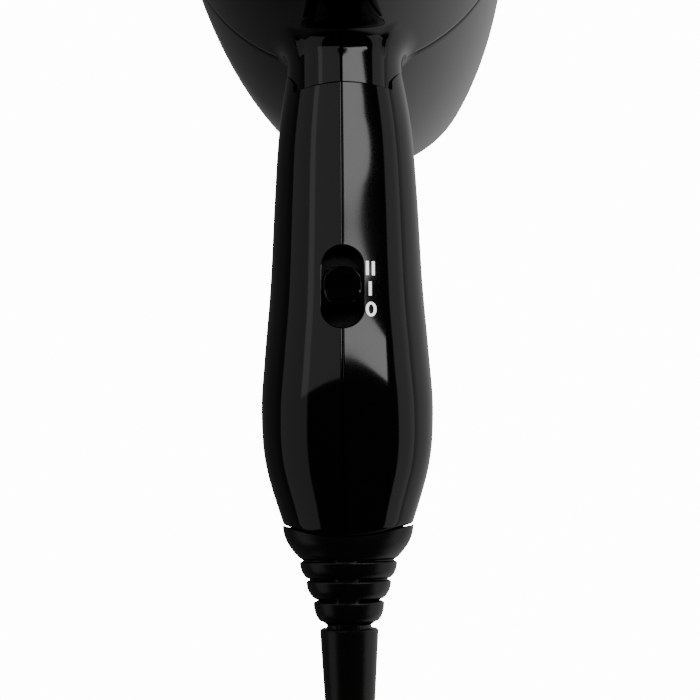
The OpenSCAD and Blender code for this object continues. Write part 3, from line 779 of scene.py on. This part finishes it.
def make_plug():
    """Two-pin plug that lies flat on the coil, pins towards -X, with grip grooves in its sides."""
    y0, z0, half_y, half_z, pin_y = COIL_Y - COIL_OUT_R, 41.0, 18.3, 12.8, 9.5
    turn = [2 * math.pi * j / 96 for j in range(96)]
    rings = []
    stations = [(-26.9, 0.90), (-26.6, 0.96), (-26.0, 0.99), (-25, 1.0)]
    for k in range(4):
        x = -20 + 4 * k
        stations += [(x - 1.2, 1.0), (x - 0.7, 0.955), (x + 0.7, 0.955), (x + 1.2, 1.0)]
    stations += [(-3, 0.97), (-1, 0.88), (0.2, 0.74)]
    for x, size in stations:
        ring = []
        for a in turn:
            c, d = math.cos(a), math.sin(a)
            y = y0 + size * half_y * math.copysign(abs(c) ** 0.8, c)
            ring.append((x, y, z0 + size * half_z * math.copysign(abs(d) ** 0.62, d)))
        rings.append(ring)
    tail = [(1.5, 7.6), (3, 6.6), (5, 5.9), (6.2, 5.2), (6.4, 4.6)]
    tail += [(6.9, 4.6), (7.1, 5.0), (9.6, 4.5), (9.9, 4.2)]
    for x, r in tail:
        rings.append([(x, y0 + r * math.cos(a), z0 + r * math.sin(a)) for a in turn])
    plug = join("plug_shell", grid(rings[::-1]))
    piece(shade(plug, 40), "handle", "satin_black", SATIN, "plug_body")
    for side, name in ((-1, "plug_pin_front"), (1, "plug_pin_rear")):
        tip = [(0.0, -46.0), (1.2, -45.9), (2.0, -45.3), (2.35, -44.2), (2.35, -27.2)]
        pin = join(name, lathe(tip, 48, "X", (0, y0 + pin_y * side, z0)))
        piece(shade(pin), "handle", "nickel", NICKEL, *(["plug_pins"] if side > 0 else []))
    return plug


def make_tie():
    """Strap round the coil's turns, stepped where the top outer layer is only partly filled."""
    x_out, x_in = -COIL_OUT_R - CORD_R, -COIL_IN_R + CORD_R
    top, step = 2 * CORD_R * COIL_LAYERS, 2 * CORD_R * (COIL_LAYERS - 1)
    half, thick = 2.9, 0.7
    outline = [
        (x_out + 0.5, 0.45), (x_out + 0.06, 1.2), (x_out + 0.06, step - 1.5),
        (x_out + 1.5, step + 0.2), (-COIL_IN_R - 1.5, top - 0.1), (-COIL_IN_R + 1.6, top - 0.1),
        (x_in - 0.06, top - 2.6), (x_in - 0.06, 1.2), (x_in - 0.5, 0.45),
    ]
    count = len(outline)
    centre = Vector((sum(p[0] for p in outline) / count, sum(p[1] for p in outline) / count))
    rings = []
    for k in range(count + 1):
        p = Vector(outline[k % count])
        q = p + (centre - p).normalized() * thick
        corners = ((p, -half), (p, half), (q, half), (q, -half))
        rings.append([(corner.x, COIL_Y + y, corner.y) for corner, y in corners])
    tie = join("coil_tie", grid(rings, caps=False))
    return piece(shade(tie, 50), "handle", "inner_black", INNER, "cord_tie")


plug = make_plug()
tie = make_tie()


# ---- floor and light, in metres ----

LOW_LIGHT_LEFT, LOW_LIGHT_RIGHT, HIGH_LIGHT = 0.065, 0.58, 0.012
FLOOR_GLOW = 14.0  # the white sweep is overexposed, as in a catalogue picture


def glow(name, place, size, aim, strength, length=(0, 1, 0)):
    """Softbox: an area light at a place, turned to its aim, with its first side along length."""
    data = bpy.data.lights.new(name, "AREA")
    data.shape = "RECTANGLE"
    data.size, data.size_y = size
    data.energy = strength * size[0] * size[1] * math.pi
    light = bpy.data.objects.new(name, data)
    back = (Vector(place) - Vector(aim)).normalized()
    side = (Vector(length) - back * back.dot(Vector(length))).normalized()
    turned = Matrix((side, back.cross(side), back)).transposed().to_4x4()
    light.matrix_world = Matrix.Translation(place) @ turned
    bpy.context.scene.collection.objects.link(light)


def make_world():
    """Dark above, and paler near the horizon and below it, more on the right than on the left."""
    world = bpy.data.worlds.new("studio")
    world.use_nodes = True
    nodes, links = world.node_tree.nodes, world.node_tree.links
    where = nodes.new("ShaderNodeTexCoord")
    split = nodes.new("ShaderNodeSeparateXYZ")
    links.new(where.outputs["Generated"], split.inputs["Vector"])
    sideways = nodes.new("ShaderNodeMapRange")
    sideways.inputs["From Min"].default_value = -0.3
    sideways.inputs["From Max"].default_value = 0.5
    sideways.inputs["To Min"].default_value = LOW_LIGHT_LEFT
    sideways.inputs["To Max"].default_value = LOW_LIGHT_RIGHT
    links.new(split.outputs["X"], sideways.inputs["Value"])
    low = nodes.new("ShaderNodeMapRange")
    low.inputs["From Min"].default_value = 0.1
    low.inputs["From Max"].default_value = -0.25
    links.new(split.outputs["Z"], low.inputs["Value"])
    product = nodes.new("ShaderNodeMath")
    product.operation = "MULTIPLY_ADD"
    product.inputs[2].default_value = HIGH_LIGHT
    links.new(sideways.outputs["Result"], product.inputs[0])
    links.new(low.outputs["Result"], product.inputs[1])
    links.new(product.outputs["Value"], nodes["Background"].inputs["Strength"])
    nodes["Background"].inputs["Color"].default_value = (1, 1, 1, 1)
    return world


def make_stage():
    far = 4000  # millimetres, as mesh() takes them
    corners = [(-far, -far, 0), (far, -far, 0), (far, far, 0), (-far, far, 0)]
    floor = mesh("floor", corners, [(0, 1, 2, 3)])
    shader = FLOOR.node_tree.nodes["Principled BSDF"]
    shader.inputs["Emission Color"].default_value = (1, 1, 1, 1)
    shader.inputs["Emission Strength"].default_value = FLOOR_GLOW
    floor.data.materials.append(FLOOR)
    floor.visible_glossy = False
    floor.visible_diffuse = False
    bpy.context.scene.world = make_world()
    hand = Vector((0.0, -0.075, 0.125))  # on the handle, where the strip light is reflected
    turn = math.radians(35)
    level, beyond = 0.912, 0.41
    toward = Vector((math.sin(turn) * level, beyond, math.cos(turn) * level))
    slant = math.radians(10)
    across = (math.cos(turn) * math.cos(slant), -math.sin(slant), -math.sin(turn) * math.cos(slant))
    strip = hand + toward * 1.1 - Vector((0, 0.0475, 0))
    glow("strip_right", strip, (0.94, 0.155), hand, 4.1, across)
    glow("fill_left", (-1.0, 0.65, 1.12), (0.9, 1.6), (-1.0, 0.65, 0), 0.5)
    glow("wall_left", (-1.4, 0, 0.6), (2.4, 1.0), (0, 0, 0.3), 0.35)
    glow("wall_right", (1.5, 0, 0.34), (2.4, 0.68), (0, 0, 0.2), 0.55)


make_stage()
